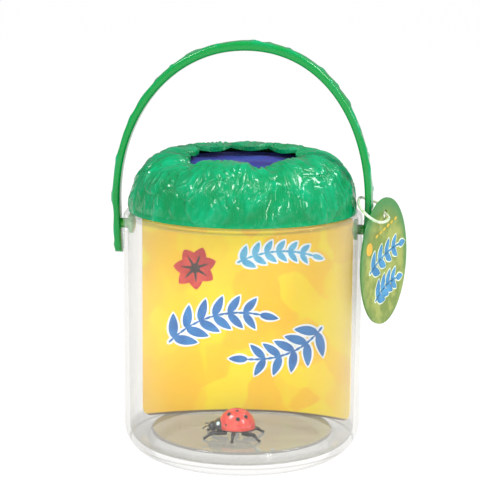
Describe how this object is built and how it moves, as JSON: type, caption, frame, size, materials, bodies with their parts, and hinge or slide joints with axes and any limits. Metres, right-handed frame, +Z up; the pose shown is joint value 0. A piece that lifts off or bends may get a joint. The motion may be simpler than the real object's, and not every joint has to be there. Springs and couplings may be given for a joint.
{
  "type": "ventilated insect jar",
  "caption": "Clear jar with a screw-on domed lid over a mesh vent, a swinging bail handle, a card insert, a toy ladybug and a hang tag.",
  "frame": {"origin": "centre of the jar's foot, on the surface it stands on", "axes": "+Z up through the jar; X along the handle's pivots; -Y is the front, where the figure stands before the card"},
  "size_m": [0.1444, 0.12, 0.2087],
  "materials": {
    "clear_plastic": "clear moulded plastic, glossy",
    "leaf_green": "glossy emerald green, leaf relief",
    "handle_green": "glossy green, bark texture",
    "button_green": "glossy green",
    "frame_plastic": "plain moulded green",
    "blue_mesh": "fine blue-violet net",
    "printed_board": "printed yellow board, satin",
    "bug_red": "painted red with black spots",
    "bug_black": "black with pale marks",
    "printed_tag": "printed olive-green board, satin",
    "loop_plastic": "translucent milky plastic"
  },
  "bodies": {
    "jar": {"jar_body": "clear_plastic", "display_card": "printed_board"},
    "handle": {"handle": "handle_green", "pivot_button_left": "button_green", "pivot_button_right": "button_green"},
    "vent_insert": {"mesh_frame": "frame_plastic", "vent_mesh": "blue_mesh", "mesh_retainer": "frame_plastic"},
    "lid": {"lid_shell": "leaf_green"},
    "ladybug": {"ladybug_shell": "bug_red", "ladybug_body": "bug_black"},
    "hang_tag": {"hang_tag": "printed_tag", "tag_loop": "loop_plastic", "tag_lock": "loop_plastic"}
  },
  "joints": [
    {"name": "handle_swing", "type": "hinge", "parent": "jar", "child": "handle", "pos_m": [0, 0, 0.1156], "axis": [1, 0, 0], "range_deg": [-132, 132]},
    {"name": "lid_rise", "type": "slide", "parent": "jar", "child": "vent_insert", "axis": [0, 0, 1], "range_m": [0, 0.0121]},
    {"name": "lid_turn", "type": "hinge", "parent": "vent_insert", "child": "lid", "pos_m": [0, 0, 0.1245], "axis": [0, 0, 1], "range_deg": [0, 540]},
    {"name": "ladybug_lift", "type": "slide", "parent": "jar", "child": "ladybug", "axis": [0, 0, 1], "range_m": [0, 0.1]},
    {"name": "tag_swing", "type": "hinge", "parent": "handle", "child": "hang_tag", "pos_m": [0.068, 0.0005, 0.13], "axis": [1, 0, 0], "range_deg": [-20, 20]}
  ],
  "couplings": [
    {"joint": "lid_rise", "follows": "lid_turn", "m_per_rad": 0.0012732}
  ]
}
